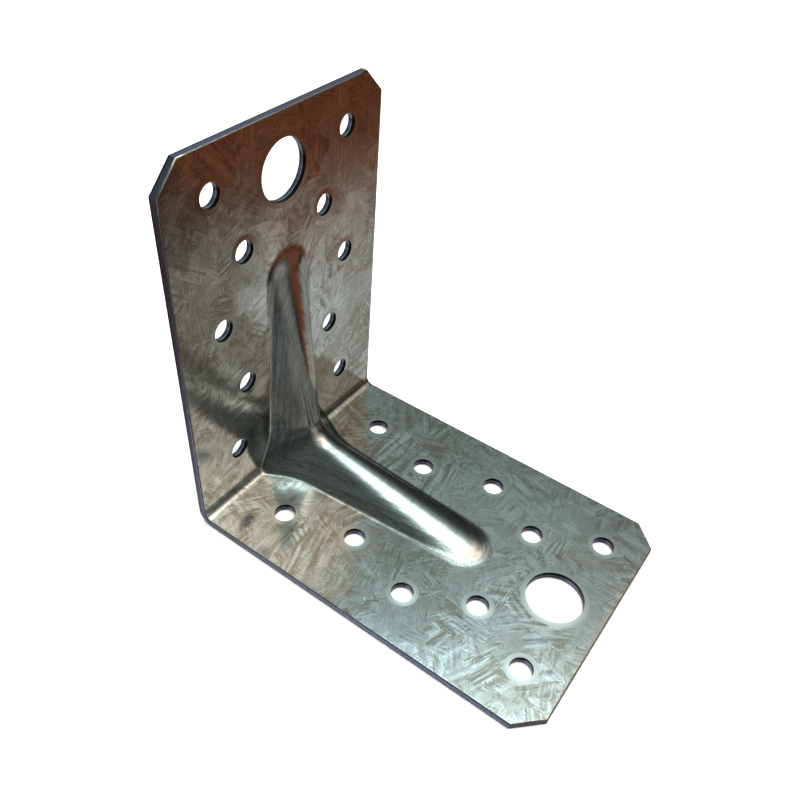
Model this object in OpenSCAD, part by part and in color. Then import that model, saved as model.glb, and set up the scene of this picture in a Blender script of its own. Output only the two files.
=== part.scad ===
// Reinforced angle bracket: one folded sheet with a rib pressed across its bend.
// x runs along the base leg, y along the bend and z up the wall leg.
// The origin is the heel, where the two outer faces would meet at mid width.

/* [Sheet] */
// Thickness of the sheet
sheet = 2; // [1.5:0.1:3]
// Width of the bracket along the bend
width = 64; // [60:1:100]
// Length of the base leg from the heel
base_len = 90; // [85:1:140]
// Length of the wall leg from the heel
wall_len = 90; // [85:1:140]
// Radius on the inside of the bend
bend_r = 2; // [1:0.25:4]
// Side of the 45 degree clip on each free corner
clip = 5.5; // [2:0.5:8]

/* [Nail holes] */
// Diameter of a nail hole
nail_d = 5; // [3:0.1:6]
// Distance from the heel to the first row
first_row = 15.5; // [12:0.5:18]
// Distance from each of the inner rows to the next
inner_pitch = 17.5; // [14:0.5:18]
// Distance from the last row to the end of the leg
end_margin = 9.5; // [8:0.5:14]
// Distance between the two outer rows
outer_pitch = 15; // [12:0.5:18]
// Hole spacing in the first row
first_spread = 38; // [36:0.5:44]
// Hole spacing in the second row
second_spread = 29; // [28:0.5:44]
// Hole spacing in the wide rows, the third and the last
wide_spread = 40; // [36:0.5:44]
// Hole spacing in the fourth row, beside the bolt hole
fourth_spread = 25; // [24:0.5:44]

/* [Bolt holes] */
// Diameter of the bolt hole in each leg
bolt_d = 13; // [8:0.5:14]
// Distance from the bolt hole to the end of the leg
bolt_margin = 12; // [11:0.5:16]

/* [Pressed rib] */
// How far the rib reaches along each leg from the heel
rib_reach = 58.5; // [50:0.5:60]
// Radius of the rib's rounded crest
crest_r = 7; // [6:0.5:9]
// Angle between a flank of the rib and the leg
flank_angle = 48; // [42:1:55]
// Slope of the crest down towards the end of the rib
crest_slope = 8.5; // [6:0.25:10]
// Radius of the crest's turn from one leg to the other
turn_r = 6; // [4:0.5:10]
// Height of the rib at its rounded end
end_height = 1.5; // [1:0.1:2]

/* [Hidden] */
$fn = 96;

// Clearance that a cutting shape has past the face it leaves by
cut = 1;

// Outer radius of the bend
heel_r = bend_r + sheet;

// Centre of the rib's round end, as a place along the leg and a height over its outer face
nose_x = rib_reach - sqrt(end_height * (2 * crest_r - end_height));
nose_z = sheet + end_height - crest_r;

// The rib's axis turns about a centre at the same distance from both legs
axis_r = turn_r + crest_r;
turn_centre = (axis_r + nose_x * sin(crest_slope) + nose_z * cos(crest_slope))
    / (sin(crest_slope) + cos(crest_slope));

// Length of the straight run of the rib's axis on each leg
run = (nose_x - turn_centre) * cos(crest_slope) - (nose_z - turn_centre) * sin(crest_slope);

// Places along a leg and hole spacings of the nail rows
function nail_rows(len) = [
    [first_row, first_spread],
    [first_row + inner_pitch, second_spread],
    [first_row + 2 * inner_pitch, wide_spread],
    [len - end_margin - outer_pitch, fourth_spread],
    [len - end_margin, wide_spread]
];

// Swaps x and z, which turns a base leg into a wall leg
module as_wall_leg() {
    mirror([1, 0, -1]) children();
}

// Flat part of a leg, with its two free corners clipped
module leg_plate(len) {
    side = width / 2;
    linear_extrude(sheet)
        polygon([
            [heel_r, -side],
            [len - clip, -side],
            [len, clip - side],
            [len, side - clip],
            [len - clip, side],
            [heel_r, side]
        ]);
}

// Quarter turn of the sheet between the legs, or of the solid corner behind it
module heel(inner_r) {
    translate([heel_r, 0, heel_r])
        rotate([90, 0, 0])
            rotate_extrude(angle = 90, start = 180)
                translate([inner_r, -width / 2])
                    square([heel_r - inner_r, width]);
}

module folded_sheet() {
    leg_plate(base_len);
    heel(bend_r);
    as_wall_leg() leg_plate(wall_len);
}

// Cross-section of the rib about its axis: a round crest with straight flanks tangent to it
module rib_section(r) {
    side = r * sin(flank_angle);
    top = r * cos(flank_angle);
    depth = crest_r + sheet + cut;
    foot = side + (top + depth) / tan(flank_angle);
    circle(r);
    polygon([[-side, top], [-foot, -depth], [foot, -depth], [side, top]]);
}

// Arm of the rib about its turning centre: a straight run with a ball end, and half of the turn
module rib_arm(r) {
    rotate([90, 0, 0])
        rotate(270 - crest_slope) {
            rotate_extrude(angle = 45, start = -45)
                translate([axis_r, 0])
                    rotate(90) rib_section(r);
            translate([axis_r, 0, 0]) {
                rotate([90, 0, 0])
                    translate([0, 0, -run])
                        linear_extrude(run)
                            rotate(90) rib_section(r);
                translate([0, run, 0]) sphere(r);
            }
        }
}

// Room on the base leg's side of the mitre plane, where the two halves of the rib meet
module base_side() {
    far = rib_reach + crest_r;
    rotate([90, 0, 0])
        linear_extrude(width, center = true)
            polygon([[-cut, -cut], [far, -cut], [far, far]]);
}

module rib_half(r) {
    intersection() {
        translate([turn_centre, 0, turn_centre]) rib_arm(r);
        base_side();
    }
}

// The rib from end to end with a given crest radius
module rib_sweep(r) {
    rib_half(r);
    as_wall_leg() rib_half(r);
}

// Room inside the two outer faces, which trims the underside of the rib
module inside_heel() {
    translate([heel_r, -width / 2, 0]) cube([base_len - heel_r, width, heel_r]);
    translate([0, -width / 2, heel_r]) cube([base_len, width, wall_len - heel_r]);
    heel(0);
}

module nail_holes(len) {
    for (row = nail_rows(len), across = [-1, 1])
        translate([row[0], across * row[1] / 2, -cut])
            cylinder(d = nail_d, h = sheet + 2 * cut);
}

module bolt_hole(len) {
    translate([len - bolt_margin, 0, -cut])
        cylinder(d = bolt_d, h = sheet + 2 * cut);
}

module leg_holes(len) {
    nail_holes(len);
    bolt_hole(len);
}

module angle_bracket() {
    color("#8f9593")
        difference() {
            union() {
                folded_sheet();
                intersection() {
                    rib_sweep(crest_r);
                    inside_heel();
                }
            }
            rib_sweep(crest_r - sheet);
            leg_holes(base_len);
            as_wall_leg() leg_holes(wall_len);
        }
}

angle_bracket();
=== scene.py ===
"""Reinforced angle bracket: a galvanised sheet folded once, with a rib pressed across the bend, on a pale floor."""
import math

import bmesh
import bpy
from mathutils import Matrix, Vector


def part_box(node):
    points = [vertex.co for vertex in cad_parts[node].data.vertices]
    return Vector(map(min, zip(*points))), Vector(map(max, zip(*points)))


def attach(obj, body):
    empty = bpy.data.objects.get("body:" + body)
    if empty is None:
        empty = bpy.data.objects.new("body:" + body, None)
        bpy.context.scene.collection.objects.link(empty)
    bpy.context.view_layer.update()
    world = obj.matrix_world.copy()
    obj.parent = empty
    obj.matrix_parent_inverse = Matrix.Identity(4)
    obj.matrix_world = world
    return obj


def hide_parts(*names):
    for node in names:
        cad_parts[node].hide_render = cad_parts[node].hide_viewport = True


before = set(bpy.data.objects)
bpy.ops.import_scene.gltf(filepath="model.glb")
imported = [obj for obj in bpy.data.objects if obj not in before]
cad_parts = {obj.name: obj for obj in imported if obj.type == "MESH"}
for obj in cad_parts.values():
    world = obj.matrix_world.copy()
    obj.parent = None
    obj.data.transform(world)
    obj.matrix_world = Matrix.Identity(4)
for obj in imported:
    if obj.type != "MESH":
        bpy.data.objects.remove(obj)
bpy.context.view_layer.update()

bl_info = {
    "name": "Reinforced angle bracket",
    "version": (1, 0, 0),
    "blender": (4, 5, 0),
    "location": "View3D > Sidebar > Bracket",
    "description": "Folds, presses and punches a galvanised angle bracket and lights it on a pale floor",
    "category": "Object",
}

NODE = "angle_bracket"
BODY = "root"
MM = 0.001
LOW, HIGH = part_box(NODE)

# The camera that took the photo, as found from the holes and corners in it: pixels, millimetres and unit vectors.
PICTURE = 800
FOCAL = 796.73
MIDDLE = (372.44, 419.49)
CAMERA_AT = Vector((100.1132, -108.9878, 150.889))
CAMERA_RIGHT = Vector((0.8029142, 0.5945026, 0.0435362))
CAMERA_FORWARD = Vector((-0.4061217, 0.5990301, -0.6900928))
SENSOR = 36


def linear(hex_code):
    """An sRGB hex colour as linear red, green, blue and alpha."""
    parts = [int(hex_code[i:i + 2], 16) / 255 for i in (1, 3, 5)]
    return [c / 12.92 if c <= 0.04045 else ((c + 0.055) / 1.055) ** 2.4 for c in parts] + [1.0]


def length(name, description, default):
    """A named length that a user may change."""
    return bpy.props.FloatProperty(name=name, description=description, default=default, unit="LENGTH", precision=5)


def turn(name, description, degrees):
    """A named angle that a user may change."""
    return bpy.props.FloatProperty(name=name, description=description, default=math.radians(degrees), subtype="ANGLE")


def colour(name, description, hex_code):
    """A named colour that a user may change."""
    return bpy.props.FloatVectorProperty(
        name=name, description=description, default=linear(hex_code), size=4, min=0, max=1, subtype="COLOR")


class BracketSheet(bpy.types.PropertyGroup):
    """Sizes of the folded sheet"""
    leg: length("Leg", "Length of each leg from the heel", HIGH.x)
    width: length("Width", "Width along the bend", HIGH.y - LOW.y)
    sheet: length("Sheet", "Thickness of the sheet", 2 * MM)
    bend_r: length("Bend radius", "Radius on the inside of the bend", 2 * MM)
    clip: length("Clip", "Side of the 45 degree clip on each free corner", 5.5 * MM)
    arris: length("Arris", "Width of the rounding that shearing leaves along the outline", 0.36 * MM)


class PressedRib(bpy.types.PropertyGroup):
    """Sizes of the rib across the bend"""
    reach: length("Reach", "How far the rib reaches along each leg from the heel", 58.5 * MM)
    crest_r: length("Crest radius", "Mean radius of the rounded crest", 7 * MM)
    widening: length("Crest widening", "How much the crest's radius grows from the turn to the end of the rib", 6 * MM)
    flank: turn("Flank angle", "Angle between a flank and the leg", 48)
    slope: turn("Crest slope", "Slope of the crest down towards the end of the rib", 8.5)
    turn_r: length("Turn radius", "Radius of the crest's turn from one leg to the other", 6 * MM)
    end_height: length("End height", "Height of the rib at its rounded end", 1.5 * MM)
    crease: length("Crease", "Softness of the crease at the foot of the rib by the bend", 0.22 * MM)
    end_crease: length("End crease", "Softness of the crease round the end of the rib", 1.8 * MM)

    def nose(self, sheet):
        """Place along the leg and height of the centre of the rib's round end."""
        back = math.sqrt(self.end_height * (2 * self.crest_r - self.end_height))
        return self.reach - back, sheet + self.end_height - self.crest_r

    def turn_centre(self, sheet):
        """Distance of the crest's turning centre from both outer faces."""
        x, z = self.nose(sheet)
        sine, cosine = math.sin(self.slope), math.cos(self.slope)
        return (self.turn_r + self.crest_r + x * sine + z * cosine) / (sine + cosine)

    def run(self, sheet):
        """Length of the rib's straight run on each leg."""
        x, z = self.nose(sheet)
        centre = self.turn_centre(sheet)
        return (x - centre) * math.cos(self.slope) - (z - centre) * math.sin(self.slope)


class PunchedHoles(bpy.types.PropertyGroup):
    """Sizes and places of the holes in each leg"""
    nail_d: length("Nail hole", "Diameter of a nail hole", 5 * MM)
    first_row: length("First row", "Distance from the heel to the first row", 15.5 * MM)
    inner_pitch: length("Inner pitch", "Distance between the inner rows", 17.5 * MM)
    end_margin: length("End margin", "Distance from the last row to the end of the leg", 9.5 * MM)
    outer_pitch: length("Outer pitch", "Distance between the two outer rows", 15 * MM)
    first_spread: length("First spread", "Hole spacing in the first row", 38 * MM)
    second_spread: length("Second spread", "Hole spacing in the second row", 29 * MM)
    wide_spread: length("Wide spread", "Hole spacing in the third and the last row", 40 * MM)
    fourth_spread: length("Fourth spread", "Hole spacing in the row beside the bolt hole", 25 * MM)
    bolt_d: length("Bolt hole", "Diameter of the bolt hole", 13 * MM)
    bolt_margin: length("Bolt margin", "Distance from the bolt hole to the end of the leg", 12 * MM)
    roll_width: length("Rollover width", "Width of the drawn-in rim on the outer face, where a punch went in", 0.5 * MM)
    roll_depth: length("Rollover depth", "Depth of the drawn-in rim on the outer face", 0.3 * MM)
    breakout: length("Breakout", "How much the hole widens on the inner face, where the punch broke through", 0.06 * MM)
    rim_width: length("Rim width", "Width of the rim that the punch pushed up on the inner face", 1.2 * MM)
    rim_height: length("Rim height", "Height of the rim that the punch pushed up on the inner face", 0.03 * MM)


class ZincFinish(bpy.types.PropertyGroup):
    """Colours and pattern sizes of the zinc and of the cut edges"""
    pale: colour("Pale crystal", "Zinc needles that lie flat to the light", "#c6d3d4")
    dark: colour("Dark crystal", "Zinc needles that turn from the light", "#8c8b80")
    warm: colour("Warm film", "Thin brownish film on some crystals", "#8f8579")
    # Its bluish tint is a painted reflection; the smooth steel itself is grey.
    burnish_and_blue_reflection: colour("Burnished cut", "Smooth part of a cut edge, where the blade or punch slid past", "#747a98")
    # A painted highlight: a thin bright line across the hole wall, where the smooth part of the cut ends.
    cut_line_highlight: colour("Cut line", "Thin bright line in a hole, where the smooth part of the cut ends", "#aeb8be")
    # Torn steel, darkened to nearly black as painted shade: in the holes near the inner face, and along the outer face
    # side of the outline.
    fracture_and_shade: colour("Fractured cut", "Torn part of a cut edge", "#26262c")
    crystal: length("Crystal", "Size of a zinc crystal", 14 * MM)
    needle: length("Needle", "Length of the longest needles in a crystal", 9 * MM)
    needle_width: length("Needle width", "Width of the longest needles", 1.0 * MM)


class PaleStage(bpy.types.PropertyGroup):
    """Floor, light and camera"""
    floor: colour("Floor", "Colour of the floor", "#f4f4f2")
    wash: bpy.props.FloatProperty(
        name="Floor wash", description="Power of the light that washes the floor", default=30.0, unit="POWER")


# What stands round the bracket and shows in the metal. Each thing has an elevation, a bearing from the base leg, the
# angle away from there at which its light ends, and stops of angle, light and colour on the way.
ROOM = {
    "ceiling panel": (86, -78, 118, (
        (0, 3.2, "#f6ffff"), (7, 3.0, "#f6ffff"), (11, 2.1, "#f0ffff"), (16, 1.15, "#eafdff"), (22, 0.55, "#e8fdff"),
        (28, 0.3, "#e4fbfb"), (34, 0.2, "#e4fbfb"), (40, 0.15, "#e4fbf8"), (48, 0.11, "#e8fdf8"), (60, 0.08, "#f0fff8"),
        (75, 0.06, "#f4fffa"), (100, 0.02, "#ffffff"))),
    "second panel": (71, 102, 32, (
        (0, 1.7, "#e6fbff"), (8, 1.7, "#e6fbff"), (11, 1.4, "#e4fbff"), (13, 0.82, "#e4fbff"), (15, 0.46, "#e2fbfd"),
        (17, 0.29, "#e2fbfa"), (20, 0.15, "#e2fbf8"), (25, 0.07, "#e4fff8"))),
    "warm lamp": (60, 36, 50, (
        (0, 2.5, "#ffdec9"), (8, 2.4, "#ffdec9"), (12, 1.8, "#ffdec9"), (16, 1.05, "#ffdecb"), (20, 0.72, "#ffe0ce"),
        (28, 0.48, "#ffe6d8"), (33, 0.2, "#fff0e8"), (40, 0.04, "#fff8f4"))),
    "window to the right": (50, -10, 55, (
        (0, 0.9, "#ffe4d4"), (12, 0.9, "#ffe4d4"), (20, 0.55, "#ffe4d4"), (30, 0.27, "#ffe6da"),
        (42, 0.07, "#ffeee4"))),
    "wall behind": (45, 116, 24, ((0, 0.19, "#f6fffa"), (8, 0.19, "#f6fffa"), (16, 0.08, "#f6fffa"))),
    "wall in front": (25, -105, 70, ((0, 0.05, "#fcfff4"), (30, 0.05, "#fcfff4"))),
    "pale ground": (-70, 100, 90, (
        (0, 0.42, "#fffaf2"), (36, 0.42, "#fffaf2"), (42, 0.39, "#fffaf2"), (47, 0.34, "#fff4ea"),
        (49, 0.24, "#ffeadc"), (51, 0.06, "#ffd0b0"), (54, 0.01, "#ffd0b0"), (75, 0.01, "#ffffff"))),
    "bright side of the ground": (-38, 51, 12, (
        (0, 0.33, "#fcffff"), (4, 0.3, "#fcffff"), (7, 0.19, "#fffcf8"), (10, 0.04, "#fff0e0"))),
    "brown table edge": (-14, 48, 20, ((0, 0.19, "#ff8a4e"), (14, 0.19, "#ff8a4e"), (17, 0.07, "#ff9056"))),
    "pale horizon to the right": (-4, 4, 34, (
        (0, 0.36, "#fff4ea"), (15, 0.36, "#fff4ea"), (21, 0.2, "#fff6f0"), (27, 0.06, "#fdfdff"))),
    "ground in front": (-33, -47, 30, ((0, 0.16, "#f4fbff"), (14, 0.16, "#f4fbff"))),
    "brown cloth to the left": (-36, -142, 28, ((0, 0.13, "#ff9a70"), (16, 0.12, "#ff9a70"))),
    "blue sheet before it": (-60, -121, 26, ((0, 0.8, "#e4ebff"), (14, 0.7, "#e4ebff"))),
    "screen behind": (18, 148, 38, ((0, 0.4, "#f8fffc"), (16, 0.36, "#f8fffc"), (26, 0.14, "#f8fffc"))),
    "screen to the left": (4, -140, 34, ((0, 0.4, "#f8fffc"), (14, 0.36, "#f8fffc"), (24, 0.14, "#f8fffc"))),
}

# A colour stop holds no more than 1, so the stops are kept as shares of this light.
GLOW = 4.0


def add(tree, kind, feeds=None, **settings):
    """Adds a node, sets its properties and fills its inputs with values or with other nodes' outputs."""
    node = tree.nodes.new(kind)
    for name, value in settings.items():
        setattr(node, name, value)
    for key, value in (feeds or {}).items():
        if isinstance(value, bpy.types.NodeSocket):
            tree.links.new(value, node.inputs[key])
        else:
            node.inputs[key].default_value = value
    return node


def new_tree(name, sizes, geometry=True):
    """A node tree that takes named sizes, and a geometry to work on unless it makes its own."""
    tree = bpy.data.node_groups.new(name, "GeometryNodeTree")
    tree.interface.new_socket("Geometry", in_out="OUTPUT", socket_type="NodeSocketGeometry")
    if geometry:
        tree.interface.new_socket("Geometry", in_out="INPUT", socket_type="NodeSocketGeometry")
    for size in sizes:
        tree.interface.new_socket(size, in_out="INPUT", socket_type="NodeSocketFloat")
    return tree, add(tree, "NodeGroupInput").outputs


def take_material(tree, name):
    """Gives a tree a named material input."""
    tree.interface.new_socket(name, in_out="INPUT", socket_type="NodeSocketMaterial")


def named_sizes(*groups):
    """The values in property groups, by the names that a user sees."""
    return {group.bl_rna.properties[key].name: getattr(group, key)
            for group in groups for key in group.__annotations__}


def set_inputs(modifier, values):
    """Sets each input of a nodes modifier, by its socket's identifier, to the value that has the socket's name."""
    for socket in modifier.node_group.interface.items_tree:
        if socket.in_out == "INPUT" and socket.name != "Geometry":
            modifier[socket.identifier] = values[socket.name]


def fold_and_press_tree():
    """Rule that folds a flat blank at its middle line and presses the rib across the fold."""
    tree, size = new_tree("Fold and press", (
        "Sheet", "Bend radius", "Crest radius", "Crest widening", "Flank angle", "Crest slope", "Turn radius",
        "Turn centre", "Straight run", "Crease", "End crease"))
    take_material(tree, "Zinc")
    blank = add(tree, "ShaderNodeSeparateXYZ", {0: add(tree, "GeometryNodeInputPosition").outputs[0]}).outputs

    # The blank's distance from the middle line runs round the bend first, and then out along the leg.
    out = add(tree, "ShaderNodeMath", {0: blank["X"]}, operation="ABSOLUTE").outputs[0]
    half_bend = add(tree, "ShaderNodeMath", {0: size["Bend radius"], 1: math.pi / 4}, operation="MULTIPLY").outputs[0]
    on_bend = add(tree, "ShaderNodeMath", {0: out, 1: half_bend}, operation="MINIMUM").outputs[0]
    on_leg = add(tree, "ShaderNodeMath", {0: out, 1: on_bend}, operation="SUBTRACT").outputs[0]
    swing = add(tree, "ShaderNodeMath", {0: on_bend, 1: size["Bend radius"]}, operation="DIVIDE").outputs[0]
    angle = add(tree, "ShaderNodeMath", {0: swing, 1: 1.25 * math.pi}, operation="ADD").outputs[0]
    cosine = add(tree, "ShaderNodeMath", {0: angle}, operation="COSINE").outputs[0]
    sine = add(tree, "ShaderNodeMath", {0: angle}, operation="SINE").outputs[0]
    heel = add(tree, "ShaderNodeMath", {0: size["Bend radius"], 1: size["Sheet"]}, operation="ADD").outputs[0]
    leg_start = add(tree, "ShaderNodeMath", {0: heel, 1: on_leg}, operation="ADD").outputs[0]
    flat_x = add(tree, "ShaderNodeMath", {0: size["Bend radius"], 1: cosine, 2: leg_start}, operation="MULTIPLY_ADD")
    flat_z = add(tree, "ShaderNodeMath", {0: size["Bend radius"], 1: sine, 2: heel}, operation="MULTIPLY_ADD")
    flat = add(tree, "ShaderNodeCombineXYZ", {0: flat_x.outputs[0], 2: flat_z.outputs[0]}).outputs[0]

    # A spoke runs from the rib's turning line to the unpressed sheet: round the turn, then square to the crest.
    slope_cos = add(tree, "ShaderNodeMath", {0: size["Crest slope"]}, operation="COSINE").outputs[0]
    slope_sin = add(tree, "ShaderNodeMath", {0: size["Crest slope"]}, operation="SINE").outputs[0]
    slope_back = add(tree, "ShaderNodeMath", {0: slope_sin, 1: -1.0}, operation="MULTIPLY").outputs[0]
    outward = add(tree, "ShaderNodeCombineXYZ", {0: slope_cos, 2: slope_back}).outputs[0]
    upward = add(tree, "ShaderNodeCombineXYZ", {0: slope_sin, 2: slope_cos}).outputs[0]
    centre = add(tree, "ShaderNodeCombineXYZ", {0: size["Turn centre"], 2: size["Turn centre"]}).outputs[0]
    arm = add(tree, "ShaderNodeVectorMath", {0: flat, 1: centre}, operation="SUBTRACT").outputs[0]
    along = add(tree, "ShaderNodeVectorMath", {0: arm, 1: outward}, operation="DOT_PRODUCT").outputs["Value"]
    rise = add(tree, "ShaderNodeVectorMath", {0: arm, 1: upward}, operation="DOT_PRODUCT").outputs["Value"]
    in_turn = add(tree, "ShaderNodeMath", {0: along, 1: 0.0}, operation="MINIMUM").outputs[0]
    across_turn = add(tree, "ShaderNodeVectorMath", {0: outward, "Scale": in_turn}, operation="SCALE").outputs[0]
    spoke = add(tree, "ShaderNodeVectorMath", {0: upward, 1: rise, 2: across_turn}, operation="MULTIPLY_ADD").outputs[0]
    to_sheet = add(tree, "ShaderNodeVectorMath", {0: spoke}, operation="LENGTH").outputs["Value"]

    # The rib's section falls from its crest as a round, then as a straight flank, and its end is the same section spun.
    past_run = add(tree, "ShaderNodeMath", {0: along, 1: size["Straight run"]}, operation="SUBTRACT").outputs[0]
    in_nose = add(tree, "ShaderNodeMath", {0: past_run, 1: 0.0}, operation="MAXIMUM").outputs[0]
    aside = add(tree, "ShaderNodeCombineXYZ", {0: blank["Y"], 1: in_nose}).outputs[0]
    off_axis = add(tree, "ShaderNodeVectorMath", {0: aside}, operation="LENGTH").outputs["Value"]
    flank_sin = add(tree, "ShaderNodeMath", {0: size["Flank angle"]}, operation="SINE").outputs[0]
    flank_tan = add(tree, "ShaderNodeMath", {0: size["Flank angle"]}, operation="TANGENT").outputs[0]
    share = add(
        tree, "ShaderNodeMath", {0: along, 1: size["Straight run"]}, operation="DIVIDE", use_clamp=True).outputs[0]
    wider = add(tree, "ShaderNodeMath", {0: share, 1: 0.5}, operation="SUBTRACT").outputs[0]
    crest_r = add(
        tree, "ShaderNodeMath", {0: wider, 1: size["Crest widening"], 2: size["Crest radius"]},
        operation="MULTIPLY_ADD").outputs[0]
    round_side = add(tree, "ShaderNodeMath", {0: crest_r, 1: flank_sin}, operation="MULTIPLY").outputs[0]
    on_round = add(tree, "ShaderNodeMath", {0: off_axis, 1: round_side}, operation="MINIMUM").outputs[0]
    on_flank = add(tree, "ShaderNodeMath", {0: off_axis, 1: on_round}, operation="SUBTRACT").outputs[0]
    inner = add(tree, "ShaderNodeMath", {0: crest_r, 1: on_round}, operation="SUBTRACT").outputs[0]
    outer = add(tree, "ShaderNodeMath", {0: crest_r, 1: on_round}, operation="ADD").outputs[0]
    square = add(tree, "ShaderNodeMath", {0: inner, 1: outer}, operation="MULTIPLY").outputs[0]
    chord = add(tree, "ShaderNodeMath", {0: square}, operation="SQRT").outputs[0]
    round_drop = add(tree, "ShaderNodeMath", {0: crest_r, 1: chord}, operation="SUBTRACT").outputs[0]
    drop = add(tree, "ShaderNodeMath", {0: on_flank, 1: flank_tan, 2: round_drop}, operation="MULTIPLY_ADD").outputs[0]

    # The sheet is lifted along the spoke to the rib wherever the rib stands proud, with a soft crease at its foot.
    to_crest = add(tree, "ShaderNodeMath", {0: to_sheet, 1: size["Turn radius"]}, operation="SUBTRACT").outputs[0]
    proud = add(tree, "ShaderNodeMath", {0: to_crest, 1: drop}, operation="SUBTRACT").outputs[0]
    late = add(tree, "ShaderNodeMath", {0: share, 1: share}, operation="MULTIPLY").outputs[0]
    crease = add(tree, "ShaderNodeMix", {0: late, 2: size["Crease"], 3: size["End crease"]}).outputs[0]
    lift = add(tree, "ShaderNodeMath", {0: proud, 1: 0.0, 2: crease}, operation="SMOOTH_MAX").outputs[0]
    back = add(tree, "ShaderNodeMath", {0: lift, 1: -1.0}, operation="MULTIPLY").outputs[0]
    heading = add(tree, "ShaderNodeVectorMath", {0: spoke}, operation="NORMALIZE").outputs[0]
    draw = add(tree, "ShaderNodeVectorMath", {0: heading, "Scale": back}, operation="SCALE").outputs[0]
    pressed = add(tree, "ShaderNodeVectorMath", {0: flat, 1: draw}, operation="ADD").outputs[0]
    place = add(tree, "ShaderNodeSeparateXYZ", {0: pressed}).outputs

    # One end of the blank becomes the base leg, and the other end the wall leg.
    base = add(tree, "ShaderNodeCombineXYZ", {0: place["X"], 1: blank["Y"], 2: place["Z"]}).outputs[0]
    wall = add(tree, "ShaderNodeCombineXYZ", {0: place["Z"], 1: blank["Y"], 2: place["X"]}).outputs[0]
    is_wall = add(
        tree, "FunctionNodeCompare", {0: blank["X"], 1: 0.0}, data_type="FLOAT", operation="LESS_THAN").outputs[0]
    spot = add(
        tree, "GeometryNodeSwitch", {"Switch": is_wall, "False": base, "True": wall}, input_type="VECTOR").outputs[0]

    # The finish needs to know where the crest and the foot of the rib lie: it paints them paler, partly as die wear and
    # partly as a painted highlight.
    marked = size["Geometry"]
    for name, value in (("proud", proud), ("off_crest", off_axis)):
        marked = add(
            tree, "GeometryNodeStoreNamedAttribute", {"Geometry": marked, "Name": name, "Value": value}).outputs[0]
    folded = add(tree, "GeometryNodeSetPosition", {"Geometry": marked, "Position": spot}).outputs[0]
    whole = add(tree, "GeometryNodeRealizeInstances", {0: folded}).outputs[0]
    coated = add(tree, "GeometryNodeSetMaterial", {"Geometry": whole, "Material": size["Zinc"]}).outputs[0]
    add(tree, "NodeGroupOutput", {0: coated})
    return tree


def lathe_tree(name, sizes, corners):
    """A closed shape turned about the axis of a hole, from the corners of its profile."""
    tree, size = new_tree(name, sizes, geometry=False)
    radius = add(tree, "ShaderNodeMath", {0: size["Diameter"], 1: 0.5}, operation="MULTIPLY").outputs[0]
    spots = corners(tree, size, add(tree, "ShaderNodeMath", {0: radius, 1: -1.0}, operation="MULTIPLY").outputs[0])
    index = add(tree, "GeometryNodeInputIndex").outputs[0]
    pick = add(tree, "GeometryNodeIndexSwitch", {"Index": index}, data_type="VECTOR")
    while len(pick.index_switch_items) < len(spots):
        pick.index_switch_items.new()
    for i, spot in enumerate(spots):
        tree.links.new(spot.outputs[0], pick.inputs[i + 1])
    line = add(tree, "GeometryNodeMeshLine", {"Count": len(spots)}).outputs[0]
    bent = add(tree, "GeometryNodeSetPosition", {"Geometry": line, "Position": pick.outputs[0]}).outputs[0]
    profile = add(tree, "GeometryNodeMeshToCurve", {0: bent}).outputs[0]
    ring = add(tree, "GeometryNodeCurvePrimitiveCircle", {"Resolution": 72, "Radius": radius}).outputs[0]
    turned = add(tree, "GeometryNodeCurveToMesh", {"Curve": ring, "Profile Curve": profile}).outputs[0]
    closed = add(tree, "GeometryNodeMergeByDistance", {"Geometry": turned, "Distance": 0.002 * MM}).outputs[0]
    add(tree, "NodeGroupOutput", {0: closed})
    return tree


def punch_corners(tree, size, middle):
    """Profile of the punched-out room, as distance outside the hole's radius and depth under the inner face."""
    clear = 1 * MM
    roll = add(tree, "ShaderNodeCombineXYZ", {0: size["Rollover width"], 1: size["Rollover depth"]}).outputs[0]
    bottom = add(tree, "ShaderNodeMath", {0: size["Sheet"], 1: clear}, operation="ADD").outputs[0]
    torn = add(tree, "ShaderNodeMath", {0: size["Sheet"], 1: 0.5}, operation="MULTIPLY").outputs[0]
    drawn = add(tree, "ShaderNodeMath", {0: size["Sheet"], 1: size["Rollover depth"]}, operation="SUBTRACT").outputs[0]
    wall_end = add(tree, "ShaderNodeCombineXYZ", {1: drawn}).outputs[0]
    past_roll = (1.1, 1.06, 0)
    flare = add(tree, "ShaderNodeMath", {0: size["Rollover width"], 1: past_roll[0]}, operation="MULTIPLY").outputs[0]
    feeds = ({0: middle, 1: -clear}, {0: size["Breakout"], 1: -clear}, {0: size["Breakout"]}, {1: torn})
    spots = [add(tree, "ShaderNodeCombineXYZ", feed) for feed in feeds]
    for degrees in (0, 12, 30, 50, 70):
        arc = (1 - math.cos(math.radians(degrees)), math.sin(math.radians(degrees)), 0)
        spots.append(add(tree, "ShaderNodeVectorMath", {0: roll, 1: arc, 2: wall_end}, operation="MULTIPLY_ADD"))
    spots.append(add(tree, "ShaderNodeVectorMath", {0: roll, 1: past_roll, 2: wall_end}, operation="MULTIPLY_ADD"))
    spots.append(add(tree, "ShaderNodeCombineXYZ", {0: flare, 1: bottom}))
    spots.append(add(tree, "ShaderNodeCombineXYZ", {0: middle, 1: bottom}))
    return spots


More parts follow.
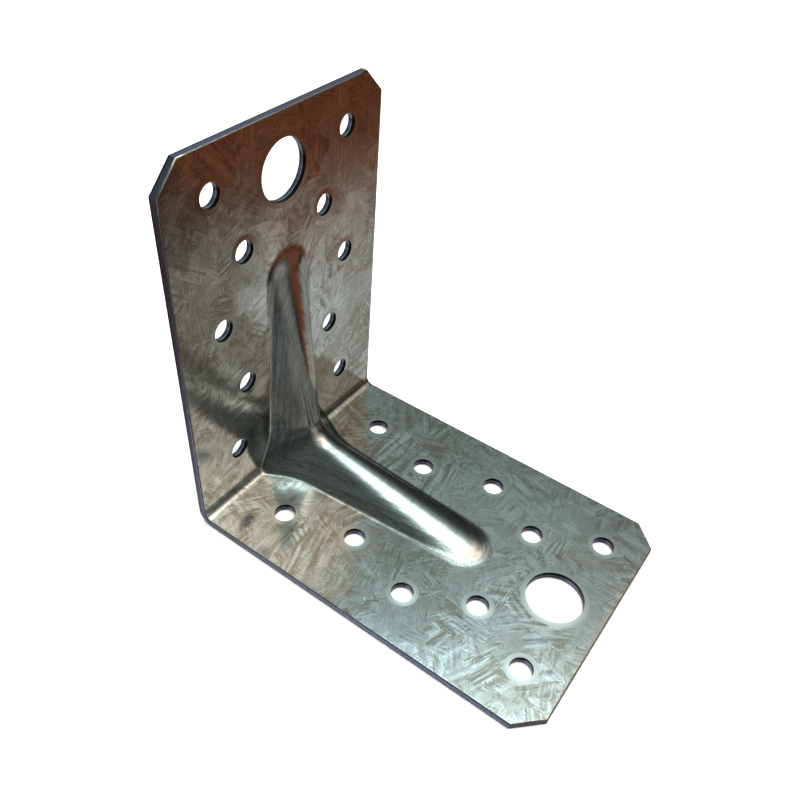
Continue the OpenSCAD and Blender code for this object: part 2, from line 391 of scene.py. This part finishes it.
def rim_corners(tree, size, middle):
    """Profile of the rim that the punch pushed up: a low cone that runs out into the inner face."""
    up = add(tree, "ShaderNodeMath", {0: size["Rim height"], 1: -1.0}, operation="MULTIPLY").outputs[0]
    low = add(tree, "ShaderNodeMath", {0: size["Rim height"], 1: 0.2}, operation="MULTIPLY").outputs[0]
    out = add(tree, "ShaderNodeMath", {0: size["Rim width"], 1: 1.2}, operation="MULTIPLY").outputs[0]
    root = add(tree, "ShaderNodeMath", {0: size["Sheet"], 1: 0.3}, operation="MULTIPLY").outputs[0]
    feeds = ({0: middle, 1: up}, {1: up}, {0: out, 1: low}, {0: out, 1: root}, {0: middle, 1: root})
    return [add(tree, "ShaderNodeCombineXYZ", feed) for feed in feeds]


def punched_holes_tree():
    """Rows of nail holes and a bolt hole, punched through both legs from the outside."""
    tree, size = new_tree("Punched holes", (
        "Leg", "Sheet", "Nail hole", "First row", "Inner pitch", "End margin", "Outer pitch", "First spread",
        "Second spread", "Wide spread", "Fourth spread", "Bolt hole", "Bolt margin", "Rollover width",
        "Rollover depth", "Breakout", "Rim width", "Rim height"))
    take_material(tree, "Zinc")
    take_material(tree, "Cut edge")
    second = add(tree, "ShaderNodeMath", {0: size["First row"], 1: size["Inner pitch"]}, operation="ADD").outputs[0]
    third = add(tree, "ShaderNodeMath", {0: second, 1: size["Inner pitch"]}, operation="ADD").outputs[0]
    last = add(tree, "ShaderNodeMath", {0: size["Leg"], 1: size["End margin"]}, operation="SUBTRACT").outputs[0]
    fourth = add(tree, "ShaderNodeMath", {0: last, 1: size["Outer pitch"]}, operation="SUBTRACT").outputs[0]
    rows = [(size["First row"], size["First spread"]), (second, size["Second spread"]), (third, size["Wide spread"]),
            (fourth, size["Fourth spread"]), (last, size["Wide spread"])]

    # Every row has two holes, one to each side of the rib.
    index = add(tree, "GeometryNodeInputIndex").outputs[0]
    halved = add(tree, "ShaderNodeMath", {0: index, 1: 0.5}, operation="MULTIPLY").outputs[0]
    row_number = add(tree, "ShaderNodeMath", {0: halved}, operation="FLOOR").outputs[0]
    odd = add(tree, "ShaderNodeMath", {0: index, 1: 2.0}, operation="MODULO").outputs[0]
    side = add(tree, "ShaderNodeMath", {0: odd, 1: 0.5}, operation="SUBTRACT").outputs[0]
    sided = add(tree, "ShaderNodeCombineXYZ", {0: 1.0, 1: side, 2: 1.0}).outputs[0]
    pick = add(tree, "GeometryNodeIndexSwitch", {"Index": row_number}, data_type="VECTOR")
    while len(pick.index_switch_items) < len(rows):
        pick.index_switch_items.new()
    for i, (along, spread) in enumerate(rows):
        spot = add(tree, "ShaderNodeCombineXYZ", {0: along, 1: spread, 2: size["Sheet"]}).outputs[0]
        tree.links.new(spot, pick.inputs[i + 1])
    nail_spot = add(tree, "ShaderNodeVectorMath", {0: pick.outputs[0], 1: sided}, operation="MULTIPLY").outputs[0]
    nail_points = add(tree, "GeometryNodePoints", {"Count": 2 * len(rows), "Position": nail_spot}).outputs[0]
    bolt_along = add(tree, "ShaderNodeMath", {0: size["Leg"], 1: size["Bolt margin"]}, operation="SUBTRACT").outputs[0]
    bolt_spot = add(tree, "ShaderNodeCombineXYZ", {0: bolt_along, 2: size["Sheet"]}).outputs[0]
    bolt_point = add(tree, "GeometryNodePoints", {"Count": 1, "Position": bolt_spot}).outputs[0]

    # Half a turn about the mitre line takes the base leg's tools to the wall leg.
    half_turn = add(tree, "FunctionNodeAxisAngleToRotation", {"Axis": (1, 0, 1), "Angle": math.pi}).outputs[0]
    tools = []
    rim_sizes = ("Diameter", "Sheet", "Rim width", "Rim height")
    punch_sizes = ("Diameter", "Sheet", "Rollover width", "Rollover depth", "Breakout")
    for lathe in (lathe_tree("Pushed-up rim", rim_sizes, rim_corners), lathe_tree("Punch", punch_sizes, punch_corners)):
        base_leg = add(tree, "GeometryNodeJoinGeometry")
        for points, diameter in ((nail_points, "Nail hole"), (bolt_point, "Bolt hole")):
            tool = add(tree, "GeometryNodeGroup", node_tree=lathe)
            for socket in tool.inputs:
                tree.links.new(size[diameter if socket.name == "Diameter" else socket.name], socket)
            spread = add(tree, "GeometryNodeInstanceOnPoints", {"Points": points, "Instance": tool.outputs[0]})
            tree.links.new(spread.outputs[0], base_leg.inputs[0])
        wall_leg = add(tree, "GeometryNodeTransform", {"Geometry": base_leg.outputs[0], "Rotation": half_turn})
        both = add(tree, "GeometryNodeJoinGeometry", {0: base_leg.outputs[0]})
        tree.links.new(wall_leg.outputs[0], both.inputs[0])
        tools.append(add(tree, "GeometryNodeRealizeInstances", {0: both.outputs[0]}).outputs[0])
    rims, punches = tools
    on_outline = add(tree, "GeometryNodeMaterialSelection", {0: size["Cut edge"]}).outputs[0]
    sheet = add(
        tree, "GeometryNodeStoreNamedAttribute",
        {"Geometry": size["Geometry"], "Name": "sheared", "Value": on_outline},
        data_type="BOOLEAN", domain="FACE").outputs[0]
    punches = add(
        tree, "GeometryNodeStoreNamedAttribute",
        {"Geometry": punches, "Name": "punched", "Value": 1.0}, domain="FACE").outputs[0]
    rimmed = add(tree, "GeometryNodeMeshBoolean", {"Mesh 2": sheet}, operation="UNION", solver="MANIFOLD")
    tree.links.new(rims, rimmed.inputs["Mesh 2"])
    punched = add(tree, "GeometryNodeMeshBoolean", {"Mesh 1": rimmed.outputs[0], "Mesh 2": punches},
                  operation="DIFFERENCE", solver="MANIFOLD").outputs[0]

    # The edges of the holes stay crisp, and all gentler bends are shaded smooth.
    bend = add(tree, "GeometryNodeInputMeshEdgeAngle").outputs["Unsigned Angle"]
    crisp = add(
        tree, "FunctionNodeCompare", {0: bend, 1: math.radians(40)},
        data_type="FLOAT", operation="GREATER_THAN").outputs[0]
    punched = add(
        tree, "GeometryNodeSetShadeSmooth", {"Geometry": punched, "Selection": crisp, "Shade Smooth": False},
        domain="EDGE").outputs[0]

    # The finish needs to know how near a hole is: 1 at its edge, and 0 where its rim runs out.
    nearest = 0.0
    for points, diameter in ((nail_points, "Nail hole"), (bolt_point, "Bolt hole")):
        wall_points = add(tree, "GeometryNodeTransform", {"Geometry": points, "Rotation": half_turn}).outputs[0]
        centres = add(tree, "GeometryNodeJoinGeometry", {0: points})
        tree.links.new(wall_points, centres.inputs[0])
        reach = add(tree, "GeometryNodeProximity", {0: centres.outputs[0]}, target_element="POINTS").outputs["Distance"]
        beyond = add(
            tree, "ShaderNodeMath", {0: size[diameter], 1: -0.5, 2: reach}, operation="MULTIPLY_ADD").outputs[0]
        near = add(tree, "ShaderNodeMapRange", {0: beyond, 1: 0.0, 2: size["Rim width"], 3: 1.0, 4: 0.0}).outputs[0]
        nearest = add(tree, "ShaderNodeMath", {0: near, 1: nearest}, operation="MAXIMUM").outputs[0]
    punched = add(
        tree, "GeometryNodeStoreNamedAttribute", {"Geometry": punched, "Name": "rim", "Value": nearest}).outputs[0]
    whole = add(tree, "GeometryNodeRealizeInstances", {0: punched}).outputs[0]
    coated = add(tree, "GeometryNodeSetMaterial", {"Geometry": whole, "Material": size["Zinc"]}).outputs[0]
    for mark in ("sheared", "punched"):
        marked = add(tree, "GeometryNodeInputNamedAttribute", {"Name": mark}, data_type="BOOLEAN").outputs[0]
        coated = add(
            tree, "GeometryNodeSetMaterial",
            {"Geometry": coated, "Selection": marked, "Material": size["Cut edge"]}).outputs[0]
    add(tree, "NodeGroupOutput", {0: coated})
    return tree


def spaced(start, end, step):
    """Places from just after start to end, no further apart than step."""
    count = max(1, math.ceil((end - start) / step - 1e-6))
    return [start + (end - start) * (i + 1) / count for i in range(count)]


def mirrored(places):
    """Places on one side of zero, with the same places on the other side."""
    return [-p for p in reversed(places)] + [0.0] + places


def flat_blank(sizes, rib):
    """The flat blank before folding, with clipped corners and a close mesh where the bend and the rib will be."""
    bend_step, rib_step, rib_cross_step = 0.18 * MM, 0.5 * MM, 0.36 * MM
    clip_step, side_step, leg_step = 2 * MM, 3.2 * MM, 4 * MM
    rib_margin, rib_side = 3.5 * MM, 14.4 * MM
    heel_r = sizes.bend_r + sizes.sheet
    half_bend = sizes.bend_r * math.pi / 4
    end = half_bend + sizes.leg - heel_r
    rib_end = half_bend + rib.reach + rib_margin - heel_r
    side = sizes.width / 2
    along = spaced(0, half_bend, bend_step) + spaced(half_bend, rib_end, rib_step)
    along += spaced(rib_end, end - sizes.clip, leg_step) + spaced(end - sizes.clip, end, clip_step)
    across = mirrored(spaced(0, rib_side, rib_cross_step) + spaced(rib_side, side, side_step))
    along = mirrored(along)
    points = []
    for s in along:
        narrowing = 1 - max(0.0, abs(s) - end + sizes.clip) / side
        points += [(s, y * narrowing, 0.0) for y in across]
    n = len(across)
    faces = [(i * n + j, (i + 1) * n + j, (i + 1) * n + j + 1, i * n + j + 1)
             for i in range(len(along) - 1) for j in range(n - 1)]
    mesh = bpy.data.meshes.new(NODE)
    mesh.from_pydata(points, [], faces, shade_flat=False)
    grain = mesh.uv_layers.new(name="blank")
    for loop in mesh.loops:
        grain.data[loop.index].uv = points[loop.vertex_index][:2]
    return mesh


def depth_in_sheet(point, sizes):
    """How deep a point on a cut edge lies: 0 on the inner face, 1 on the outer face."""
    heel_r = sizes.bend_r + sizes.sheet
    if point.x < heel_r and point.z < heel_r:
        return (math.hypot(heel_r - point.x, heel_r - point.z) - sizes.bend_r) / sizes.sheet
    return 1 - min(point.x, point.z) / sizes.sheet


def zinc_material(finish):
    """Hot-dip galvanised sheet: large zinc crystals full of straight needles, each needle with its own shine."""
    material = bpy.data.materials.new("hot_dip_galvanised_steel_spangled")
    material.use_nodes = True
    tree = material.node_tree
    tree.nodes.clear()
    blank = add(tree, "ShaderNodeUVMap", uv_map="blank").outputs[0]
    flat = add(tree, "ShaderNodeSeparateXYZ", {0: blank}).outputs
    depth = add(tree, "ShaderNodeAttribute", attribute_name="depth").outputs["Fac"]
    between_faces, border_size, border_shake = 60 * MM, 4 * MM, 7 * MM
    scratch_length, scratch_width, film_size = 45 * MM, 0.15 * MM, 14 * MM
    most_lean, mean_chance = 0.017, (0.5,) * 3
    layer = add(tree, "ShaderNodeMath", {0: depth, 1: between_faces}, operation="MULTIPLY").outputs[0]
    place = add(tree, "ShaderNodeCombineXYZ", {0: flat["X"], 1: flat["Y"], 2: layer}).outputs[0]

    # Crystal borders are ragged, so the place is shaken before the crystals are laid out.
    ragged = add(tree, "ShaderNodeTexNoise", {
        "Vector": place, "Scale": 1 / border_size, "Detail": 4.0, "Roughness": 0.6}).outputs["Color"]
    shake = add(tree, "ShaderNodeVectorMath", {0: ragged, 1: mean_chance}, operation="SUBTRACT").outputs[0]
    shaken = add(
        tree, "ShaderNodeVectorMath", {0: shake, 1: (border_shake,) * 3, 2: place}, operation="MULTIPLY_ADD").outputs[0]
    crystal = add(
        tree, "ShaderNodeTexVoronoi", {"Vector": shaken, "Scale": 1 / finish.crystal}, feature="F1").outputs["Color"]
    chance = add(tree, "ShaderNodeSeparateColor", {0: crystal}).outputs
    heading = add(tree, "ShaderNodeMath", {0: chance[0], 1: math.tau}, operation="MULTIPLY").outputs[0]

    # Zinc grows on three axes at 60 degrees, so each patch of a crystal has needles along one of its three axes,
    # first long and wide, then shorter and finer over them. Each needle has its own tone and its own lean. Real needles
    # get finer than a pixel, so the finest here are as coarse as they need to be to show.
    tone = add(tree, "ShaderNodeMath", {0: chance[1], 1: 0.3, 2: 0.35}, operation="MULTIPLY_ADD").outputs[0]
    lean = add(tree, "ShaderNodeVectorMath", {0: crystal, 1: mean_chance}, operation="SUBTRACT").outputs[0]
    for share, patch_weight, needle_weight in ((1.5, 0.3, 0.6), (0.6, 0.3, 0.5), (0.25, 0.2, 0.45)):
        patch_shake, patch_size = 3 * MM * share, finish.needle * share * 0.9
        moved = add(
            tree, "ShaderNodeVectorMath", {0: shake, 1: (patch_shake,) * 3, 2: place},
            operation="MULTIPLY_ADD").outputs[0]
        patch = add(
            tree, "ShaderNodeTexVoronoi", {"Vector": moved, "Scale": 1 / patch_size}, feature="F1").outputs["Color"]
        patch_chance = add(tree, "ShaderNodeSeparateColor", {0: patch}).outputs
        axis = add(tree, "ShaderNodeMath", {0: patch_chance[0], 1: 1 / 3}, operation="SNAP").outputs[0]
        angle = add(tree, "ShaderNodeMath", {0: axis, 1: math.pi, 2: heading}, operation="MULTIPLY_ADD").outputs[0]
        grown = add(
            tree, "ShaderNodeVectorRotate", {"Vector": place, "Angle": angle}, rotation_type="Z_AXIS").outputs[0]
        stretch = (1 / (finish.needle * share), 1 / (finish.needle_width * share), 1 / finish.needle)
        needle_at = add(tree, "ShaderNodeVectorMath", {0: grown, 1: stretch}, operation="MULTIPLY").outputs[0]
        noise = add(tree, "ShaderNodeTexNoise", {"Vector": needle_at, "Scale": 1.0, "Detail": 2.0}).outputs["Color"]
        needle = add(
            tree, "ShaderNodeMapRange", {6: noise, 7: (0.36,) * 3, 8: (0.64,) * 3, 9: (-0.5,) * 3, 10: (0.5,) * 3},
            data_type="FLOAT_VECTOR").outputs[1]
        needle = add(tree, "ShaderNodeVectorMath", {0: needle, "Scale": patch_chance[2]}, operation="SCALE").outputs[0]
        tilt = add(tree, "ShaderNodeVectorMath", {0: patch, 1: mean_chance}, operation="SUBTRACT").outputs[0]
        lean = add(
            tree, "ShaderNodeVectorMath", {0: tilt, 1: (share,) * 3, 2: lean}, operation="MULTIPLY_ADD").outputs[0]
        lean = add(tree, "ShaderNodeVectorMath", {0: lean, 1: needle}, operation="ADD").outputs[0]
        shade = add(tree, "ShaderNodeSeparateXYZ", {0: needle}).outputs[0]
        tone = add(
            tree, "ShaderNodeMath", {0: shade, 1: 1.6 * needle_weight, 2: tone}, operation="MULTIPLY_ADD").outputs[0]
        tone = add(
            tree, "ShaderNodeMath", {0: patch_chance[1], 1: patch_weight, 2: tone}, operation="MULTIPLY_ADD").outputs[0]
        tone = add(tree, "ShaderNodeMath", {0: tone, 1: patch_weight / 2}, operation="SUBTRACT").outputs[0]

    # Handling left a few long scratches along the sheet. They are drawn wider than real ones, so that they show.
    stretch = (1 / scratch_length, 1 / scratch_width, 1 / scratch_length)
    scratch_at = add(tree, "ShaderNodeVectorMath", {0: place, 1: stretch}, operation="MULTIPLY").outputs[0]
    scratches = add(tree, "ShaderNodeTexNoise", {"Vector": scratch_at, "Scale": 1.0, "Detail": 0.0}).outputs[0]
    scratch = add(tree, "ShaderNodeMapRange", {0: scratches, 1: 0.7, 2: 0.78, 3: 0.0, 4: 0.3}).outputs[0]
    tone = add(tree, "ShaderNodeMath", {0: tone, 1: scratch}, operation="ADD", use_clamp=True).outputs[0]

    # The crest of the rib and a thin line along its foot are painted paler and smoother: partly wear from the die,
    # partly a painted highlight along the crest and the crease. The punch left a paler ring round each hole.
    proud = add(tree, "ShaderNodeAttribute", attribute_name="proud").outputs["Fac"]
    off_crest = add(tree, "ShaderNodeAttribute", attribute_name="off_crest").outputs["Fac"]
    raised = add(
        tree, "ShaderNodeMapRange", {0: proud, 1: 0.1 * MM, 2: 1 * MM}, interpolation_type="SMOOTHSTEP").outputs[0]
    crest = add(
        tree, "ShaderNodeMapRange", {0: off_crest, 1: 1.5 * MM, 2: 6 * MM, 3: 0.65, 4: 0.0},
        interpolation_type="SMOOTHSTEP").outputs[0]
    rubbed_and_highlight = add(tree, "ShaderNodeMath", {0: raised, 1: crest}, operation="MULTIPLY").outputs[0]
    from_foot = add(tree, "ShaderNodeMath", {0: proud}, operation="ABSOLUTE").outputs[0]
    foot = add(tree, "ShaderNodeMapRange", {0: from_foot, 1: 0.08 * MM, 2: 0.3 * MM, 3: 0.5, 4: 0.0}).outputs[0]
    rubbed_and_highlight = add(tree, "ShaderNodeMath", {0: rubbed_and_highlight, 1: foot}, operation="MAXIMUM").outputs[0]
    ring = add(tree, "ShaderNodeAttribute", attribute_name="rim").outputs["Fac"]
    wear_and_highlight = add(tree, "ShaderNodeMath", {0: ring, 1: 3.0}, operation="POWER").outputs[0]
    wear_and_highlight = add(tree, "ShaderNodeMath", {0: wear_and_highlight, 1: rubbed_and_highlight}, operation="MAXIMUM").outputs[0]

    # Painted highlight: the crest and the foot line are mixed towards a pale tone, together with the paler rings round
    # the holes.
    tone = add(tree, "ShaderNodeMix", {0: wear_and_highlight, 2: tone, 3: 0.85}).outputs[0]
    zinc = add(tree, "ShaderNodeMix", {0: tone, 6: finish.dark, 7: finish.pale}, data_type="RGBA").outputs[2]
    film_at = add(tree, "ShaderNodeTexNoise", {"Vector": place, "Scale": 1 / film_size, "Detail": 4.0}).outputs[0]
    film = add(tree, "ShaderNodeMapRange", {0: film_at, 1: 0.5, 2: 0.75, 3: 0.0, 4: 0.5}).outputs[0]
    skin = add(tree, "ShaderNodeMix", {0: film, 6: zinc, 7: finish.warm}, data_type="RGBA").outputs[2]
    rough = add(tree, "ShaderNodeMapRange", {0: tone, 1: 0.0, 2: 1.0, 3: 0.19, 4: 0.13}).outputs[0]
    rough = add(tree, "ShaderNodeMix", {0: rubbed_and_highlight, 2: rough, 3: 0.16}).outputs[0]

    # Crystals and their patches lie a degree or two off the sheet, so each catches the light at its own angle.
    facing = add(tree, "ShaderNodeNewGeometry").outputs["Normal"]
    leaning = add(
        tree, "ShaderNodeVectorMath", {0: lean, 1: (most_lean,) * 3, 2: facing}, operation="MULTIPLY_ADD").outputs[0]
    leaning = add(tree, "ShaderNodeVectorMath", {0: leaning}, operation="NORMALIZE").outputs[0]
    grain = add(tree, "ShaderNodeBump", {
        "Strength": 0.15, "Distance": 0.02 * MM, "Height": tone, "Normal": leaning}).outputs[0]
    surface = add(tree, "ShaderNodeBsdfPrincipled", {
        "Base Color": skin, "Metallic": 1.0, "Roughness": rough, "Normal": grain})
    add(tree, "ShaderNodeOutputMaterial", {"Surface": surface.outputs[0]})
    return material


def cut_edge_material(finish):
    """Cut steel edge: smooth where the tool slid past, with a painted bluish reflection in its colour, and grainy where
    the steel tore, painted nearly black as shade; in a hole a thin painted highlight line runs between the two.
    """
    material = bpy.data.materials.new("sheared_steel_edge")
    material.use_nodes = True
    tree = material.node_tree
    tree.nodes.clear()
    place = add(tree, "ShaderNodeTexCoord").outputs["Object"]
    depth = add(tree, "ShaderNodeAttribute", attribute_name="depth").outputs["Fac"]
    in_hole = add(tree, "ShaderNodeAttribute", attribute_name="punched").outputs["Fac"]

    # The grit of torn steel is finer than a pixel, so it is drawn as coarse as it needs to show.
    grit_size = 0.7 * MM
    grit = add(tree, "ShaderNodeTexNoise", {"Vector": place, "Scale": 1 / grit_size, "Detail": 4.0}).outputs[0]
    ragged = add(tree, "ShaderNodeMath", {0: grit, 1: 0.2, 2: depth}, operation="MULTIPLY_ADD").outputs[0]
    down = add(tree, "ShaderNodeMath", {0: ragged, 1: 0.1}, operation="SUBTRACT").outputs[0]
    bands = []
    # Down each cut the colour runs in bands: on the outline pale zinc, the bluish burnish, then the near-black torn
    # part; in a hole the near-black torn part, a painted highlight line, then the burnish. The bluish tint is painted
    # reflection and the near-black is painted shade.
    for stops in (((0.1, finish.pale), (0.2, finish.burnish_and_blue_reflection), (0.66, finish.burnish_and_blue_reflection), (0.76, finish.fracture_and_shade)),
                  ((0.36, finish.fracture_and_shade), (0.44, finish.cut_line_highlight), (0.5, finish.cut_line_highlight), (0.58, finish.burnish_and_blue_reflection))):
        band = add(tree, "ShaderNodeValToRGB", {0: down})
        for place_in_cut, _ in stops[2:]:
            band.color_ramp.elements.new(place_in_cut)
        for element, (place_in_cut, tint) in zip(band.color_ramp.elements, stops):
            element.position, element.color = place_in_cut, tint
        bands.append(band.outputs[0])
    steel = add(tree, "ShaderNodeMix", {0: in_hole, 6: bands[0], 7: bands[1]}, data_type="RGBA").outputs[2]
    relief = add(tree, "ShaderNodeBump", {"Strength": 0.4, "Distance": 0.05 * MM, "Height": grit}).outputs[0]
    rough = add(tree, "ShaderNodeMapRange", {0: grit, 1: 0.3, 2: 0.7, 3: 0.25, 4: 0.45}).outputs[0]
    surface = add(tree, "ShaderNodeBsdfPrincipled", {
        "Base Color": steel, "Metallic": 1.0, "Roughness": rough, "Normal": relief})
    add(tree, "ShaderNodeOutputMaterial", {"Surface": surface.outputs[0]})
    return material


class BRACKET_OT_press(bpy.types.Operator):
    """Cut, fold, press and punch the bracket from one galvanised sheet"""
    bl_idname = "bracket.press"
    bl_label = "Press the bracket"

    def execute(self, context):
        scene = context.scene
        sizes, rib, holes = scene.bracket_sheet, scene.bracket_rib, scene.bracket_holes
        zinc, cut = zinc_material(scene.bracket_finish), cut_edge_material(scene.bracket_finish)
        blank = flat_blank(sizes, rib)
        blank.materials.append(zinc)
        blank.materials.append(cut)
        piece = bpy.data.objects.new("galvanised_bracket", blank)
        scene.collection.objects.link(piece)

        press = piece.modifiers.new("Fold and press", "NODES")
        press.node_group = fold_and_press_tree()
        set_inputs(press, named_sizes(sizes, rib) | {
            "Turn centre": rib.turn_centre(sizes.sheet), "Straight run": rib.run(sizes.sheet), "Zinc": zinc})
        body = piece.modifiers.new("Sheet thickness", "SOLIDIFY")
        body.thickness, body.offset, body.use_even_offset, body.material_offset_rim = sizes.sheet, -1, True, 1
        arris = piece.modifiers.new("Sheared arris", "BEVEL")
        arris.limit_method, arris.angle_limit, arris.width, arris.segments = "ANGLE", math.radians(60), sizes.arris, 4
        arris.material, arris.use_clamp_overlap = 0, False
        punch = piece.modifiers.new("Punched holes", "NODES")
        punch.node_group = punched_holes_tree()
        set_inputs(punch, named_sizes(sizes, holes) | {"Zinc": zinc, "Cut edge": cut})
        even = piece.modifiers.new("Even shading", "WEIGHTED_NORMAL")
        even.mode, even.weight, even.keep_sharp = "FACE_AREA", 50, True

        plain = bpy.data.meshes.new_from_object(piece.evaluated_get(context.evaluated_depsgraph_get()))
        piece.modifiers.clear()
        piece.data = plain
        fewest_faces = 1000
        if len(plain.polygons) < fewest_faces:
            raise RuntimeError("the bracket came out empty")
        depth = plain.attributes.new("depth", "FLOAT", "POINT")
        for vertex in plain.vertices:
            depth.data[vertex.index].value = depth_in_sheet(vertex.co, sizes)
        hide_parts(NODE)
        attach(piece, BODY)
        return {"FINISHED"}


def toward(elevation, bearing):
    """Unit vector from the bracket to a place in the room, by its elevation and its bearing from the base leg."""
    lifted, swung = math.radians(elevation), math.radians(bearing)
    return Vector((math.cos(lifted) * math.cos(swung), math.cos(lifted) * math.sin(swung), math.sin(lifted)))


def room_light(tree):
    """Soft studio surround: the sum of all that stands in the room, brightest at the ceiling panel."""
    heading = add(tree, "ShaderNodeTexCoord").outputs["Generated"]
    glow = None
    for elevation, bearing, reach, stops in ROOM.values():
        facing = add(tree, "ShaderNodeVectorMath", {0: heading, 1: toward(elevation, bearing)}, operation="DOT_PRODUCT")
        away = add(tree, "ShaderNodeMath", {0: facing.outputs["Value"]}, operation="ARCCOSINE").outputs[0]
        half_turns = add(tree, "ShaderNodeMath", {0: away, 1: math.pi}, operation="DIVIDE").outputs[0]
        ramp = add(tree, "ShaderNodeValToRGB", {0: half_turns})
        for degrees, *_ in stops[1:]:
            ramp.color_ramp.elements.new(degrees / 180)
        for element, (degrees, light, hex_code) in zip(ramp.color_ramp.elements, stops + ((reach, 0.0, "#ffffff"),)):
            element.position, element.color = degrees / 180, [c * light / GLOW for c in linear(hex_code)]
        part = ramp.outputs[0]
        if glow:
            part = add(tree, "ShaderNodeMix", {0: 1.0, 6: glow, 7: part}, data_type="RGBA", blend_type="ADD").outputs[2]
        glow = part
    back = tree.nodes["Background"].inputs
    tree.links.new(glow, back["Color"])
    back["Strength"].default_value = GLOW


class BRACKET_OT_stage(bpy.types.Operator):
    """Set the pale floor, the soft light and the camera"""
    bl_idname = "bracket.stage"
    bl_label = "Set the stage"

    def execute(self, context):
        scene = context.scene
        stage = scene.bracket_stage
        floor_half, floor_gap, lamp_size, lamp_height = 3.0, 0.05 * MM, 1.6, 1.4

        # Matt white board: even and bright, with hardly any shine.
        paper = bpy.data.materials.new("matt_white_board")
        paper.use_nodes = True
        shader = paper.node_tree.nodes["Principled BSDF"].inputs
        shader["Base Color"].default_value = stage.floor
        shader["Roughness"].default_value = 0.9
        shader["Specular IOR Level"].default_value = 0.1
        board = bpy.data.meshes.new("floor")
        shape = bmesh.new()
        bmesh.ops.create_grid(shape, x_segments=1, y_segments=1, size=floor_half)
        shape.to_mesh(board)
        shape.free()
        board.materials.append(paper)
        floor = bpy.data.objects.new("floor", board)
        floor.location.z = -floor_gap
        scene.collection.objects.link(floor)
        floor.visible_glossy = False

        world = bpy.data.worlds.new("studio")
        world.use_nodes = True
        scene.world = world
        room_light(world.node_tree)

        wash = bpy.data.lights.new("floor_wash", "AREA")
        wash.size, wash.energy = lamp_size, stage.wash
        lamp = bpy.data.objects.new("floor_wash", wash)
        lamp.location = (0, 0, lamp_height)
        lamp.visible_glossy = False
        scene.collection.objects.link(lamp)

        lens = bpy.data.cameras.new("camera")
        lens.sensor_width = SENSOR
        lens.lens = FOCAL / PICTURE * SENSOR
        lens.shift_x, lens.shift_y = (PICTURE / 2 - MIDDLE[0]) / PICTURE, (MIDDLE[1] - PICTURE / 2) / PICTURE
        lens.clip_start = 5 * MM
        up = -CAMERA_FORWARD.cross(CAMERA_RIGHT)
        turned = Matrix((CAMERA_RIGHT, up, -CAMERA_FORWARD)).transposed().to_4x4()
        camera = bpy.data.objects.new("camera", lens)
        camera.matrix_world = Matrix.Translation(CAMERA_AT * MM) @ turned
        scene.collection.objects.link(camera)
        scene.camera = camera
        scene.view_settings.view_transform = "Standard"
        return {"FINISHED"}


class BRACKET_PT_panel(bpy.types.Panel):
    """Sizes and colours of the bracket, and the steps that make it"""
    bl_idname = "BRACKET_PT_panel"
    bl_label = "Angle bracket"
    bl_space_type = "VIEW_3D"
    bl_region_type = "UI"
    bl_category = "Bracket"

    def draw(self, context):
        for title, group in GROUPS.items():
            column = self.layout.column(align=True)
            for name in group.__annotations__:
                column.prop(getattr(context.scene, title), name)
        for operator in OPERATORS:
            self.layout.operator(operator.bl_idname)


GROUPS = {
    "bracket_sheet": BracketSheet, "bracket_rib": PressedRib, "bracket_holes": PunchedHoles,
    "bracket_finish": ZincFinish, "bracket_stage": PaleStage}
OPERATORS = (BRACKET_OT_press, BRACKET_OT_stage)


def register():
    """Registers the property groups, operators and panel."""
    for title, group in GROUPS.items():
        bpy.utils.register_class(group)
        setattr(bpy.types.Scene, title, bpy.props.PointerProperty(type=group))
    for operator in OPERATORS:
        bpy.utils.register_class(operator)
    bpy.utils.register_class(BRACKET_PT_panel)


def unregister():
    """Removes what register added."""
    bpy.utils.unregister_class(BRACKET_PT_panel)
    for operator in OPERATORS:
        bpy.utils.unregister_class(operator)
    for title, group in GROUPS.items():
        delattr(bpy.types.Scene, title)
        bpy.utils.unregister_class(group)


def main():
    register()
    bpy.ops.bracket.press()
    bpy.ops.bracket.stage()


if __name__ == "__main__":
    main()
